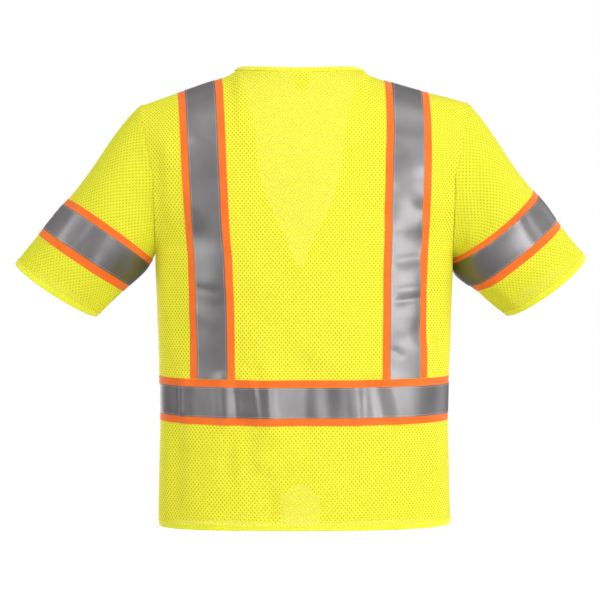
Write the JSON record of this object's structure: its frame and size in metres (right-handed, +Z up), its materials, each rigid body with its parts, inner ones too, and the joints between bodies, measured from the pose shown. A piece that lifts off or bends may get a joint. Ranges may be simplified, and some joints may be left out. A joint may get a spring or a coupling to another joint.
{
  "type": "mesh safety vest",
  "caption": "Short-sleeved lime mesh safety vest with a zip front, V neck and silver-on-orange tapes, filled out as worn and hollow.",
  "frame": {"origin": "between the two neck points of the shoulder seams, where the wearer's shoulders carry the vest", "axes": "+Z up, +X towards the wearer's left sleeve, -Y the front with the zip"},
  "size_m": [0.9985, 0.3002, 0.8141],
  "materials": {
    "lime_mesh": "fluorescent lime polyester mesh, matt, with round holes",
    "lime_binding": "fluorescent lime woven edge binding, matt",
    "orange_tape": "fluorescent orange contrast tape, matt",
    "silver_tape": "silver glass-bead retroreflective tape, satin",
    "lime_zip": "moulded lime zip, satin",
    "blank_label": "blank woven label, satin"
  },
  "bodies": {
    "vest": {"back_panel": "lime_mesh", "front_left": "lime_mesh", "front_right": "lime_mesh", "sleeve_left": "lime_mesh", "sleeve_right": "lime_mesh", "hem_binding": "lime_binding", "neck_binding": "lime_binding", "cuff_binding_left": "lime_binding", "cuff_binding_right": "lime_binding", "waist_tape": "orange_tape", "waist_silver": "silver_tape", "brace_tape_left": "orange_tape", "brace_silver_left": "silver_tape", "brace_tape_right": "orange_tape", "brace_silver_right": "silver_tape", "sleeve_tape_left": "orange_tape", "sleeve_silver_left": "silver_tape", "sleeve_tape_right": "orange_tape", "sleeve_silver_right": "silver_tape", "neck_label": "blank_label", "zip_tape_left": "lime_zip", "zip_tape_right": "lime_zip", "zip_chain": "lime_zip", "zip_slider": "lime_zip"},
    "pull_tab": {"zip_pull_tab": "lime_zip"}
  },
  "joints": [
    {"name": "pull_tab_hinge", "type": "hinge", "parent": "vest", "child": "pull_tab", "pos_m": [0, -0.1525, -0.3475], "axis": [-1, 0, 0], "range_deg": [0, 170]}
  ]
}
